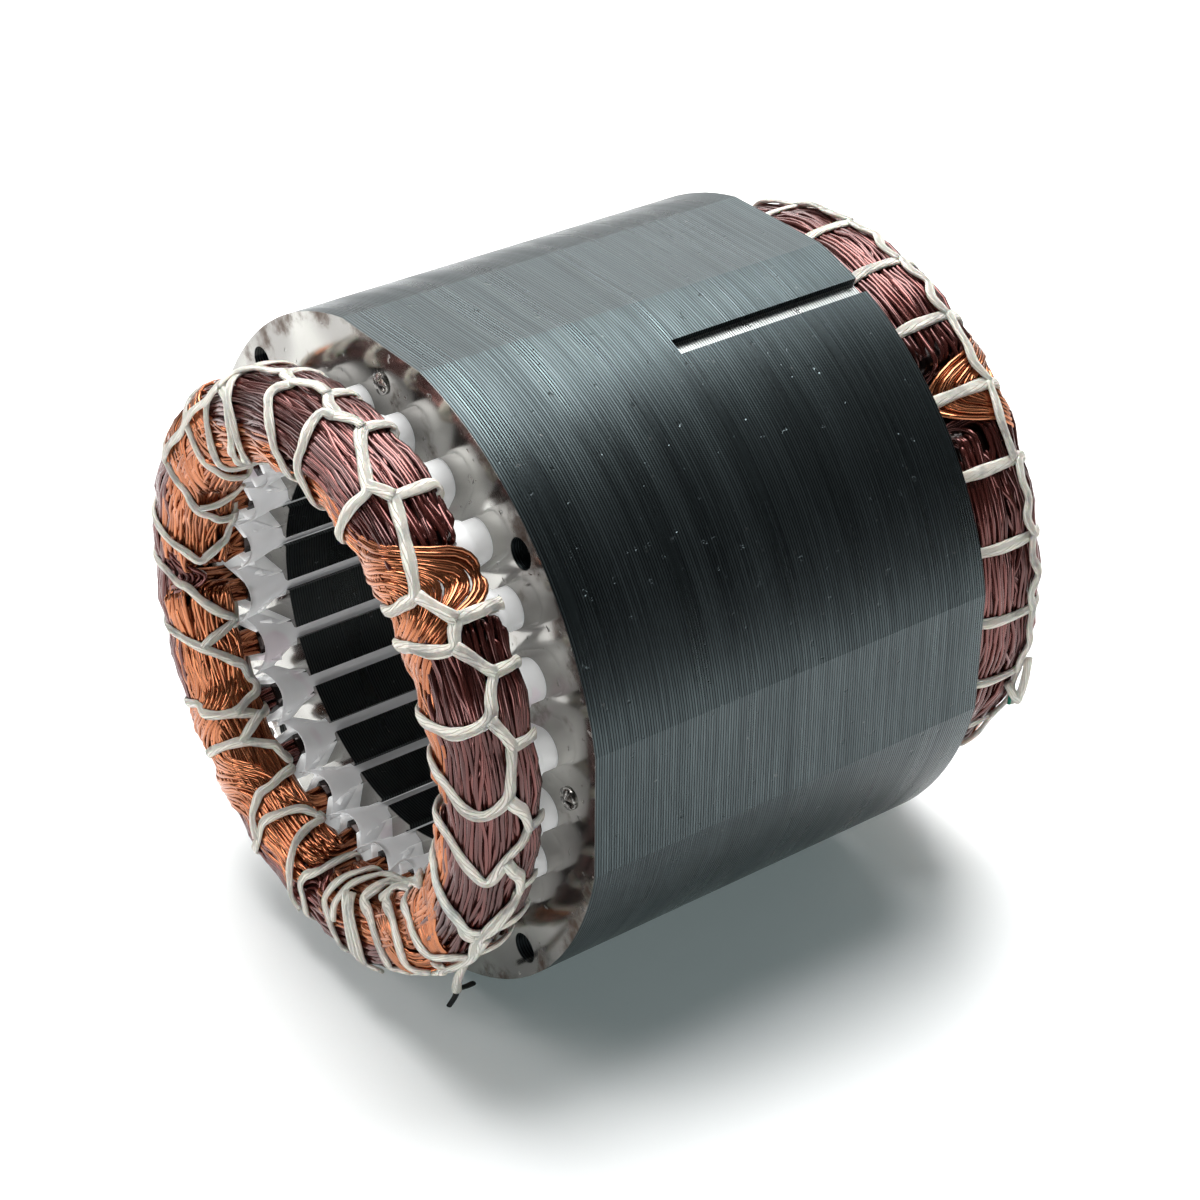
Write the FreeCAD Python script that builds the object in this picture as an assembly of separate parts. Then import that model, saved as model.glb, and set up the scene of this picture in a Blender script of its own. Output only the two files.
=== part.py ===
import FreeCAD, Part
import math
import os

from FreeCAD import Vector

# Wound stator of a four-pole motor: a stack of stamped laminations, slot liners and wedges,
# two windings in two layers, and the cords that lace the end turns. Millimetres, +Z up.
# The stack lies on one of its four flats. Its bore runs along Y, and the origin is the
# middle of the bore. Everything is built with the bore upright and laid down on export.

# Laminations
sheet_thickness = 0.6
sheet_count = 159
turned_sheets = 82          # sheets at the near end that are stacked half a turn round
stack_radius = 70.0
flat_offset = 68.67         # from the axis to each of the four flats
bore_radius = 41.0
slot_count = 24
slot_radius = 57.5          # outer end of a slot
slot_opening = 2.4
tooth_width = 5.4
lip_thickness = 1.0         # tooth tip beside the opening
shoulder_depth = 0.9        # slope behind the tooth tip

# Holes, key groove and rivets
bolt_circle_diameter = 129.0
bolt_hole = 6.4
groove_width = 3.7
groove_depth = 2.0
groove_angle = 67.5
rivet_circle_diameter = 121.0
rivet_diameter = 4.6
rivet_clearance = 0.05
rivet_end = 0.6             # stands out of each end face

# Slot liners
film_thickness = 0.3
film_clearance = 0.1        # to the slot wall
film_folds = 4              # flat panels round the slot's outer end
liner_start = 0.4           # from the slot's shoulder to the film's edge
liner_overhang = 8.6
cuff_length = 5.0

# Wedges that close the slots
wedge_thickness = 0.35
wedge_clearance = 0.1
wedge_lift = 0.15           # from the shoulder line to the wedge
wedge_flange = 1.4
wedge_overhang = 10.5
wedge_notch = 3.0           # depth of the swallowtail at each end

# Windings
pole_count = 4
outer_coil_slots = 5        # from one side of a pole's outer coil to the other
inner_coil_slots = 3        # the same for its inner coil
coil_clearance = 0.15
coil_gap = 0.4              # between two coil sides in one slot
layer_shift = 2.1           # from the middle of the coil space out to the end turns' boundary
layer_gap = 0.3
tail_angle = 3.7            # end turns run on past the outer coil side
crown_angle = 3.5           # half of the hump that fills the gap in the other layer
crown_drop = 1.2            # how far the hump stays inside the other layer's outline
turn_inset = 3.0            # from the bore's wall to the inside of the end turns
bundle_shoulder = 4.6       # size of the slopes beside the top of the end turns
overhang_inset = 2.6        # width of the turns that hang down outside the cuffs
overhang_base = 4.6         # how far above the stack these turns start
near_turn_bulge = 4.5       # past the slots' outer end
near_turn_height = 23.0
far_turn_bulge = 5.5
far_turn_height = 26.6

# Lacing cords
cord_size = 1.4
cord_clearance = 0.2
near_lacing_angle = 300.0   # where the near cord is tied off
far_lacing_angle = 345.0

stack_length = sheet_thickness * sheet_count
half_length = stack_length / 2
slot_pitch = 360.0 / slot_count
half_pitch = math.radians(slot_pitch / 2)

# A slot's walls are parallel to its teeth, and a round end touches both walls.
round_centre = (slot_radius + tooth_width / 2) / (1 + math.sin(half_pitch))
round_radius = slot_radius - round_centre
shoulder_radius = bore_radius + lip_thickness + shoulder_depth

liner_inner = shoulder_radius + liner_start
film_depth = film_clearance + film_thickness
coil_depth = film_depth + coil_clearance
wedge_inner = shoulder_radius + wedge_lift
coil_inner = wedge_inner + wedge_flange + coil_clearance
coil_outer = slot_radius - coil_depth
coil_reach = slot_pitch * outer_coil_slots / 2
inner_reach = slot_pitch * inner_coil_slots / 2
slot_split = (coil_inner + coil_outer) / 2
layer_radius = slot_split + layer_shift
turn_inner_radius = bore_radius + turn_inset
near_turn_radius = slot_radius + near_turn_bulge
far_turn_radius = slot_radius + far_turn_bulge
leg_top = liner_overhang + layer_gap
main_base = leg_top + layer_gap
start_base = wedge_overhang + coil_gap
cord_path = cord_clearance + cord_size / math.sqrt(2)


def polar(radius, degrees, height=0.0):
    angle = math.radians(degrees)
    return Vector(radius * math.cos(angle), radius * math.sin(angle), height)


def turned(shape, degrees):
    copy = shape.copy()
    copy.rotate(Vector(0, 0, 0), Vector(0, 0, 1), degrees)
    return copy


def plate(points, low, high):
    """Prism on a closed outline of points, from one height to the other."""
    face = Part.Face(Part.makePolygon(points + points[:1]))
    face.translate(Vector(0, 0, low))
    return face.extrude(Vector(0, 0, high - low))


def joined(shapes):
    return shapes[0].multiFuse(shapes[1:]).removeSplitter()


def slot_wall(radius, depth):
    """Half the slot's width at a distance from the axis, depth inside its wall."""
    return (radius * math.sin(half_pitch) - tooth_width / 2 - depth) / math.cos(half_pitch)


def round_end(depth):
    """Corners of the folded panels round the slot's outer end, depth inside its wall."""
    swing = 90 + slot_pitch / 2
    corners = []
    for fold in range(film_folds + 1):
        corner = polar(round_radius - depth, swing - 2 * swing * fold / film_folds)
        corners.append(corner + Vector(round_centre, 0, 0))
    return corners


def channel_path(inner, depth):
    """The slot's outline as an open path, from one wall's inner edge to the other's."""
    half = slot_wall(inner, depth)
    return [Vector(inner, half, 0)] + round_end(depth) + [Vector(inner, -half, 0)]


def box_between(inner, outer, width, low, high):
    return Part.makeBox(outer - inner, width, high - low, Vector(inner, -width / 2, low))


def chord_point(radius, degrees, height):
    """Point on the straight chords between neighbouring slots, which meet at this radius."""
    offset = (degrees + slot_pitch / 2) % slot_pitch - slot_pitch / 2
    stretch = math.cos(half_pitch) / math.cos(math.radians(offset))
    return polar(radius * stretch, degrees, height)


def lamination():
    """One sheet: round with four flats, slots, bolt holes and rivet holes."""
    disc = Part.Face(Part.Wire(Part.makeCircle(stack_radius)))
    square = Part.makePlane(
        2 * flat_offset, 2 * flat_offset, Vector(-flat_offset, -flat_offset, 0)
    )
    removed = [Part.Face(Part.Wire(Part.makeCircle(bore_radius)))]
    for slot in range(slot_count):
        removed.append(turned(slot_face(), slot_pitch * (slot + 0.5)))
    for pole in range(pole_count):
        bolt = polar(bolt_circle_diameter / 2, 360 / pole_count * (pole + 0.5))
        removed.append(Part.Face(Part.Wire(Part.makeCircle(bolt_hole / 2, bolt))))
        rivet = polar(rivet_circle_diameter / 2, 360 / pole_count * pole)
        hole = Part.makeCircle(rivet_diameter / 2 + rivet_clearance, rivet)
        removed.append(Part.Face(Part.Wire(hole)))
    return disc.common(square).cut(removed)


def slot_face():
    """Slot pointing along X, with an opening, sloped shoulders, straight walls and a round end."""
    lip_radius = bore_radius + lip_thickness
    half_opening = slot_opening / 2
    start = bore_radius - lip_thickness
    half_shoulder = slot_wall(shoulder_radius, 0)
    touch = round_end(0)[0]
    lower_touch = Vector(touch.x, -touch.y, 0)
    upper = [
        Vector(start, half_opening, 0),
        Vector(lip_radius, half_opening, 0),
        Vector(shoulder_radius, half_shoulder, 0),
        touch,
    ]
    lower = [Vector(point.x, -point.y, 0) for point in reversed(upper)]
    edges = Part.makePolygon(upper).Edges
    edges.append(Part.Arc(touch, Vector(slot_radius, 0, 0), lower_touch).toShape())
    edges += Part.makePolygon(lower + upper[:1]).Edges
    return Part.Face(Part.Wire(edges))


def lamination_stack():
    """The whole stack as one solid. The sheets' key notches line up as a groove in each part."""
    stack = lamination().extrude(Vector(0, 0, stack_length))
    stack.translate(Vector(0, 0, -half_length))
    split = half_length - turned_sheets * sheet_thickness
    floor = stack_radius - groove_depth
    far_key = box_between(floor, stack_radius + groove_depth, groove_width, -half_length, split)
    near_key = box_between(floor, stack_radius + groove_depth, groove_width, split, half_length)
    return stack.cut([turned(far_key, groove_angle), turned(near_key, groove_angle + 180)])


def stack_rivets():
    """Four pins through the stack, with their ends upset against the end faces."""
    top = half_length + rivet_end
    rivet = Part.makeCylinder(rivet_diameter / 2, 2 * top, Vector(rivet_circle_diameter / 2, 0, -top))
    return Part.makeCompound([turned(rivet, 360 / pole_count * pole) for pole in range(pole_count)])


def film_channel(inner, depth, thickness, low, high):
    """Sheet of film folded to the slot's outline."""
    outside = channel_path(inner, depth)
    inside = channel_path(inner, depth + thickness)
    return plate(outside + inside[::-1], low, high)


def slot_liner():
    """Channel of film through the slot, folded back on itself as a cuff at each end."""
    top = half_length + liner_overhang
    film = film_channel(liner_inner, film_clearance, film_thickness, -top, top)
    cuff_depth = film_clearance - film_thickness
    near_cuff = film_channel(liner_inner, cuff_depth, film_thickness, top - cuff_length, top)
    far_cuff = film_channel(liner_inner, cuff_depth, film_thickness, -top, cuff_length - top)
    return joined([film, near_cuff, far_cuff])


def slot_wedge():
    """Shallow channel that closes the slot behind the tooth tips, with swallowtail ends."""
    depth = film_depth + wedge_clearance
    flange_top = wedge_inner + wedge_flange
    base_top = wedge_inner + wedge_thickness
    outline = [
        Vector(flange_top, slot_wall(flange_top, depth), 0),
        Vector(wedge_inner, slot_wall(wedge_inner, depth), 0),
    ]
    inside = [
        Vector(base_top, slot_wall(base_top, depth + wedge_thickness), 0),
        Vector(flange_top, slot_wall(flange_top, depth + wedge_thickness), 0),
    ]
    mirrored = [Vector(point.x, -point.y, 0) for point in reversed(outline)]
    mirrored += [Vector(point.x, -point.y, 0) for point in reversed(inside)]
    top = half_length + wedge_overhang
    wedge = plate(outline + mirrored + inside, -top, top)
    half = slot_wall(wedge_inner, depth)
    notches = []
    for end in (-top, top):
        tip = end - math.copysign(wedge_notch, end)
        corners = [
            Vector(bore_radius, 0, tip),
            Vector(bore_radius, half, end),
            Vector(bore_radius, -half, end),
        ]
        notch = Part.Face(Part.makePolygon(corners + corners[:1]))
        notches.append(notch.extrude(Vector(flange_top + wedge_thickness - bore_radius, 0, 0)))
    return wedge.cut(notches)


def coil_side(inner, outer, base):
    """Packed wires in one slot, between two distances from the axis, out to the end turns."""
    full = plate(channel_path(coil_inner, coil_depth), -base, base)
    return full.common(box_between(inner, outer, 2 * slot_radius, -base, base))


def skin(sections):
    """Solid with flat sides, from a row of sections with the same number of corners."""
    faces = [Part.Face(Part.makePolygon(ends + ends[:1])) for ends in (sections[0], sections[-1])]
    count = len(sections[0])
    for near, beyond in zip(sections, sections[1:]):
        for corner in range(count):
            following = (corner + 1) % count
            panel = [near[corner], near[following], beyond[following], beyond[corner], near[corner]]
            faces.append(Part.Face(Part.makePolygon(panel)))
    solid = Part.Solid(Part.Shell(faces))
    if solid.Volume < 0:
        solid.reverse()
    return solid


def bundle(outline, degrees):
    """Packed end turns: an outline of radius and height carried from slot to slot."""
    sections = []
    for angle in degrees:
        sections.append([chord_point(radius, angle, height) for radius, height in outline])
    return skin(sections)


def main_outline(radius, height):
    """Outer layer of end turns, which hangs down outside the cuffs."""
    inner = layer_radius + layer_gap / 2
    return [
        (inner, half_length + main_base),
        (radius - overhang_inset - layer_gap, half_length + main_base),
        (radius - overhang_inset, half_length + overhang_base),
        (radius, half_length + overhang_base),
        (radius, half_length + height - bundle_shoulder),
        (radius - bundle_shoulder, half_length + height),
        (inner, half_length + height),
    ]


def start_outline(height):
    """Inner layer of end turns, above the wedges' ends."""
    outer = layer_radius - layer_gap / 2
    return [
        (turn_inner_radius, half_length + start_base),
        (outer, half_length + start_base),
        (outer, half_length + height),
        (turn_inner_radius + bundle_shoulder, half_length + height),
        (turn_inner_radius, half_length + height - bundle_shoulder),
    ]


def far(shape):
    """Mirror image at the far end of the stack."""
    return shape.mirror(Vector(0, 0, 0), Vector(0, 0, 1))


def slot_angles(reach):
    """Slots between two coil sides, with the tails past the last ones."""
    count = int(round(2 * reach / slot_pitch)) + 1
    inside = [slot_pitch * (step - (count - 1) / 2) for step in range(count)]
    return [inside[0] - tail_angle] + inside + [inside[-1] + tail_angle]


def main_pole():
    """Main winding's group for one pole: two coils round the same pole, in the outer layer."""
    inner = layer_radius + layer_gap / 2
    stations = slot_angles(coil_reach)
    crown = (-crown_angle, crown_angle)
    pieces = []
    for reach in (-coil_reach, -inner_reach, inner_reach, coil_reach):
        shared = abs(reach) == inner_reach
        start = slot_split + coil_gap / 2 if shared else coil_inner
        side = coil_side(start, coil_outer, half_length + leg_top)
        riser = coil_side(inner, coil_outer, half_length + main_base + layer_gap)
        pieces += [turned(side, reach), turned(riser, reach)]
    pieces.append(bundle(main_outline(near_turn_radius, near_turn_height), stations))
    pieces.append(far(bundle(main_outline(far_turn_radius, far_turn_height), stations)))
    pieces.append(bundle(inward_crown(near_turn_height), crown))
    pieces.append(far(bundle(inward_crown(far_turn_height), crown)))
    return joined(pieces)


def start_pole():
    """Starting winding's group for one pole, half a pole round, in the inner layer."""
    outer = (layer_radius - layer_gap / 2) * math.cos(half_pitch)
    stations = slot_angles(coil_reach)
    crown = (-crown_angle, crown_angle)
    pieces = []
    for reach in (-coil_reach, -inner_reach, inner_reach, coil_reach):
        shared = abs(reach) == inner_reach
        end = slot_split - coil_gap / 2 if shared else coil_outer
        side = coil_side(coil_inner, end, half_length + leg_top)
        riser_end = min(end, outer)
        riser = coil_side(coil_inner, riser_end, half_length + start_base + layer_gap)
        pieces += [turned(side, reach), turned(riser, reach)]
    pieces.append(bundle(start_outline(near_turn_height), stations))
    pieces.append(far(bundle(start_outline(far_turn_height), stations)))
    pieces.append(bundle(outward_crown(near_turn_radius, near_turn_height), crown))
    pieces.append(far(bundle(outward_crown(far_turn_radius, far_turn_height), crown)))
    return turned(joined(pieces), 180 / pole_count)


def inward_crown(height):
    """Hump of the outer layer that fills the gap between two groups of the inner layer."""
    inner = turn_inner_radius + crown_drop
    outer = layer_radius + layer_gap
    top = height - crown_drop
    return [
        (inner, half_length + start_base),
        (outer, half_length + start_base),
        (outer, half_length + top),
        (inner + bundle_shoulder, half_length + top),
        (inner, half_length + top - bundle_shoulder),
    ]


def outward_crown(radius, height):
    """Hump of the inner layer that fills the gap between two groups of the outer layer."""
    inner = layer_radius - layer_gap
    outer = radius - crown_drop
    top = height - crown_drop
    return [
        (inner, half_length + start_base),
        (outer, half_length + start_base),
        (outer, half_length + top - bundle_shoulder),
        (outer - bundle_shoulder, half_length + top),
        (inner, half_length + top),
    ]


def lacing_loop(radius, height):
    """One turn of cord round both layers, from the top of the end turns back to it."""
    flat = math.cos(half_pitch)
    inner = turn_inner_radius * flat - cord_path
    outer = radius * flat + cord_path
    base = half_length + overhang_base - cord_path
    top = half_length + height + cord_path
    slope = bundle_shoulder + cord_path * (math.sqrt(2) - 1)
    return [
        (outer - slope, top),
        (outer, top - slope),
        (outer, base),
        ((radius - overhang_inset) * flat - cord_path / 2, base),
        (inner, half_length + start_base - cord_path),
        (inner, top - slope),
        (inner + slope, top),
    ]


def lacing(radius, height, start):
    """One cord wound round the ring of end turns, one turn at each tooth."""
    route = []
    for turn in range(slot_count):
        angle = start + slot_pitch * turn
        route += [polar(reach, angle, level) for reach, level in lacing_loop(radius, height)]
    return cord(route)


def cord(route):
    """Square cord along straight runs, with a mitre at each corner."""
    runs = [(end - begin).normalize() for begin, end in zip(route, route[1:])]
    across = runs[0].cross(Vector(0, 0, 1)).normalize()
    sections = []
    for index, corner in enumerate(route):
        before = runs[max(index - 1, 0)]
        after = runs[min(index, len(runs) - 1)]
        mitre = (before + after).normalize()
        lift = before.cross(across)
        section = []
        for side, rise in ((1, 1), (-1, 1), (-1, -1), (1, -1)):
            edge = across * (side * cord_size / 2) + lift * (rise * cord_size / 2)
            slide = edge.dot(mitre) / before.dot(mitre)
            section.append(corner + edge - before * slide)
        sections.append(section)
        across = carried(across, before, after)
    return skin(sections)


def carried(across, before, after):
    """The cord's sideways direction, turned with it round a corner."""
    axis = before.cross(after)
    if axis.Length < 1e-9:
        return across
    return FreeCAD.Rotation(before, after).multVec(across)


def write(name, shape):
    """Lay the piece down, so that the near end faces -Y, and save it."""
    laid = shape.copy()
    laid.rotate(Vector(0, 0, 0), Vector(1, 0, 0), 90)
    laid.exportStep(f"parts/{name}.step")
    print(f"{name}: {len(laid.Solids)} solid(s), {laid.Volume:.0f} mm3, valid {laid.isValid()}")


os.makedirs("parts", exist_ok=True)
write("lamination_stack", lamination_stack())
write("stack_rivets", stack_rivets())
liner = slot_liner()
wedge = slot_wedge()
for slot in range(slot_count):
    angle = slot_pitch * (slot + 0.5)
    write(f"slot_liner_{slot + 1:02d}", turned(liner, angle))
    write(f"slot_wedge_{slot + 1:02d}", turned(wedge, angle))
main = main_pole()
start = start_pole()
for pole in range(pole_count):
    angle = 360 / pole_count * pole
    write(f"main_winding_pole_{pole + 1}", turned(main, angle))
    write(f"start_winding_pole_{pole + 1}", turned(start, angle))
write("near_lacing", lacing(near_turn_radius, near_turn_height, near_lacing_angle))
write("far_lacing", far(lacing(far_turn_radius, far_turn_height, far_lacing_angle)))
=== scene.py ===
import bpy
import numpy as np
from mathutils import Matrix, Vector


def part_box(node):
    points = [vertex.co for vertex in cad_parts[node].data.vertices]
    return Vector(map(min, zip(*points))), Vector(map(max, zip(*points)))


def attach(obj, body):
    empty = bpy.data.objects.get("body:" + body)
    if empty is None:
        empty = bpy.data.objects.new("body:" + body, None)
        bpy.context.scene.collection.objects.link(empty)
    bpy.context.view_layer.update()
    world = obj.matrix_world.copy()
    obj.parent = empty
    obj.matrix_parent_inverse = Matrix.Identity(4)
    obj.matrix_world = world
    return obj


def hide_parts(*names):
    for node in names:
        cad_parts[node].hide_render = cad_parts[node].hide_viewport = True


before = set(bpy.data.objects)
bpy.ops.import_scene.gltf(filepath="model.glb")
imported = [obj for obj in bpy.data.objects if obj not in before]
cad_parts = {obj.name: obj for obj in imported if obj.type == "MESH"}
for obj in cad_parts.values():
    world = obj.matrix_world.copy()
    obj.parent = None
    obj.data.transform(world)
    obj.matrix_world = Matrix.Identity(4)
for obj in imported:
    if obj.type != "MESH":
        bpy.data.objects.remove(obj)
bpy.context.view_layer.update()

mm = 0.001

# The stack lies along Y. Angles are in degrees round its axis, from +X towards +Z.
# Shapes are worked out in millimetres and scaled when a mesh is made.
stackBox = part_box("lamination_stack")
halfStack = stackBox[1][1] / mm
slotCount = 24
slotPitch = 360 / slotCount
sheetPitch = 0.6
poleCount = 4


def addMesh(name, parts, material, replaced=(), smooth=True, along=False):
    # A part is its points, its quads, one tone per point and, for cords, the length along it.
    starts = np.cumsum([0] + [len(part[0]) for part in parts])
    points = np.vstack([part[0] for part in parts])
    faces = np.vstack([part[1] + start for part, start in zip(parts, starts)])
    mesh = bpy.data.meshes.new(name)
    mesh.vertices.add(len(points))
    mesh.vertices.foreach_set("co", (points * mm).astype(np.float32).ravel())
    mesh.loops.add(faces.size)
    mesh.loops.foreach_set("vertex_index", faces.astype(np.int32).ravel())
    mesh.polygons.add(len(faces))
    mesh.polygons.foreach_set("loop_start", np.arange(0, faces.size, 4, dtype=np.int32))
    mesh.update(calc_edges=True)
    mesh.polygons.foreach_set("use_smooth", np.full(len(faces), smooth))
    attribute = mesh.attributes.new("tone", "FLOAT", "POINT")
    attribute.data.foreach_set("value", np.concatenate([part[2] for part in parts]).astype(np.float32))
    if along:
        uv = np.vstack([part[3] for part in parts]).astype(np.float32)
        mesh.uv_layers.new(name="along").uv.foreach_set("vector", uv[faces.ravel()].ravel())
    mesh.materials.append(material)
    piece = bpy.data.objects.new(name, mesh)
    bpy.context.scene.collection.objects.link(piece)
    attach(piece, "root")
    if replaced:
        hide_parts(*replaced)
    return piece


def gridFaces(rows, columns, closed=False):
    # Quads of a grid of points numbered row by row. A closed grid joins its last column to its first.
    a, b = np.meshgrid(np.arange(rows - 1), np.arange(columns if closed else columns - 1), indexing="ij")
    following = (b + 1) % columns
    quads = [a * columns + b, a * columns + following]
    quads += [(a + 1) * columns + following, (a + 1) * columns + b]
    return np.stack(quads, -1).reshape(-1, 4)


def slab(front, back, tone=0.5):
    # Solid between two grids of points, closed by four strips round the edge.
    rows, columns = front.shape[:2]
    size = rows * columns
    grid = gridFaces(rows, columns)
    index = np.arange(size).reshape(rows, columns)
    border = np.concatenate([index[0, :-1], index[:-1, -1], index[-1, :0:-1], index[:0:-1, 0]])
    following = np.roll(border, -1)
    strip = np.stack([following, border, border + size, following + size], -1)
    points = np.concatenate([front.reshape(-1, 3), back.reshape(-1, 3)])
    faces = np.vstack([grid, grid[:, ::-1] + size, strip])
    corners = points[faces]
    areas = np.cross(corners[:, 2] - corners[:, 0], corners[:, 3] - corners[:, 1])
    if np.sum(areas * (corners.mean(1) - points.mean(0))) < 0:
        faces = faces[:, ::-1]
    return points, faces, np.full(len(points), tone)


def unit(vectors):
    # Vectors of length one.
    return vectors / np.maximum(np.linalg.norm(vectors, axis=-1, keepdims=True), 1e-9)


def tubes(paths, radius, sides, outward, tones, flat=1.0):
    # Tubes along many paths at once. Every point of a path carries a ring whose first axis lies
    # as near to the outward direction as the path allows. flat is the thickness along that axis
    # as a share of the width.
    along = unit(np.gradient(paths, axis=1))
    normal = unit(outward - along * np.sum(outward * along, -1, keepdims=True))
    across = np.cross(along, normal)
    turn = np.linspace(0, 2 * np.pi, sides, endpoint=False)
    rings = normal[:, :, None] * np.cos(turn)[:, None] * flat + across[:, :, None] * np.sin(turn)[:, None]
    points = paths[:, :, None] + rings * np.asarray(radius)[..., None, None]
    count, length = paths.shape[:2]
    wall = gridFaces(length, sides, closed=True)
    fan = np.array([[0, step, step + 1, step + 2] for step in range(1, sides - 2, 2)])
    one = np.vstack([wall, fan[:, ::-1], fan + (length - 1) * sides])
    faces = one[None] + (np.arange(count) * length * sides)[:, None, None]
    tone = np.broadcast_to(np.asarray(tones)[:, None, None], (count, length, sides))
    steps = np.linalg.norm(np.diff(paths, axis=1), axis=-1)
    run = np.concatenate([np.zeros((count, 1)), np.cumsum(steps, 1)], 1)
    uv = np.stack(np.broadcast_arrays(run[..., None], turn / (2 * np.pi)), -1)
    return points.reshape(-1, 3), faces.reshape(-1, 4), tone.ravel(), uv.reshape(-1, 2)


def smoothStep(value):
    # Rises from 0 to 1 as three times the square less twice the cube.
    value = np.clip(value, 0, 1)
    return value * value * (3 - 2 * value)


# The rings of end turns: distances from the axis, heights over the stack and the seed of what
# differs from wire to wire. The underside steps up to boreBase at the bore, and the cords draw
# the ring in by the pinch.
nearRing = {"side": -1, "inner": 44.2, "outer": 62.2, "base": 3.2, "top": 22.6, "seed": 11}
farRing = {"side": 1, "inner": 44.2, "outer": 63.2, "base": 3.4, "top": 26.0, "seed": 23}
ringShape = {"roundness": 2.6, "boreBase": 9.4, "stepFrom": 0.45, "stepOver": 0.25, "pinch": 0.7}


def ringPoint(ring, angle, reach, height):
    # Point from its angle round the axis, its distance from it and its height over the stack.
    turn = np.radians(angle)
    flat = np.zeros(np.broadcast(angle, reach, height).shape)
    return np.stack([reach * np.cos(turn) + flat, ring["side"] * (halfStack + height) + flat,
                     reach * np.sin(turn) + flat], -1)


def section(ring, roll, depth):
    # Superellipse: reach and height go as the 2/roundness power of the cosine and sine of the
    # roll, which is 0 on the outside, 90 on top and 180 at the bore. The underside steps up
    # towards the bore to clear the cuffs.
    cosine, sine = np.cos(np.radians(roll)), np.sin(np.radians(roll))
    power = 2 / ringShape["roundness"]
    lowered = smoothStep((cosine - ringShape["stepFrom"]) / ringShape["stepOver"])
    base = ringShape["boreBase"] - (ringShape["boreBase"] - ring["base"]) * lowered
    centre = (ring["base"] + ring["top"]) / 2
    tall = np.where(sine > 0, ring["top"] - centre, centre - base) - depth
    wide = (ring["outer"] - ring["inner"]) / 2 - depth
    reach = (ring["outer"] + ring["inner"]) / 2 + wide * np.sign(cosine) * np.abs(cosine) ** power
    return reach, centre + tall * np.sign(sine) * np.abs(sine) ** power


def onRing(ring, angle, roll, depth):
    # Point at a depth under the ring's surface. The wires are drawn in under the cords, over the
    # middle of each tooth: the waist is the squared half sum of one and a cosine per slot.
    waist = (0.5 + 0.5 * np.cos(np.radians(angle) * 360 / slotPitch)) ** 2
    reach, height = section(ring, roll, depth + ringShape["pinch"] * waist)
    return ringPoint(ring, angle, reach, height)


def laneRolls(ring, first, last, shares):
    # Rolls at given shares of the distance round the section from one roll to another.
    roll = np.linspace(first, last, 600)
    reach, height = section(ring, roll, 0.5)
    run = np.concatenate([[0], np.cumsum(np.hypot(np.diff(reach), np.diff(height)))])
    return np.interp(shares * run[-1], run, roll), run[-1]


def bezier(points, count):
    # Cubic Bezier curves: each of four points is weighted by its term of the cubed sum of the
    # share and the rest.
    share = np.linspace(0, 1, count)[None, :, None]
    rest = 1 - share
    a, b, c, d = (point[:, None] for point in points)
    return rest ** 3 * a + 3 * rest ** 2 * share * b + 3 * rest * share ** 2 * c + share ** 3 * d


# How the wires of a coil lie. Waves are in degrees round the ring. A few wires stray and wander
# more than the others. The last lengths are for the turn down into the slot.
wireLay = {
    "layers": 0.6, "uneven": 0.15, "waves": (34.0, 17.0), "dip": 0.16, "strayWander": 3.5,
    "strayShare": (0.88, 0.12), "lanePoints": 20, "turnPoints": 10, "sides": 6, "slotSpread": 2.9,
    "foot": 3.0, "over": 10.5, "overSpread": 3.0, "pull": 0.42,
}


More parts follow.
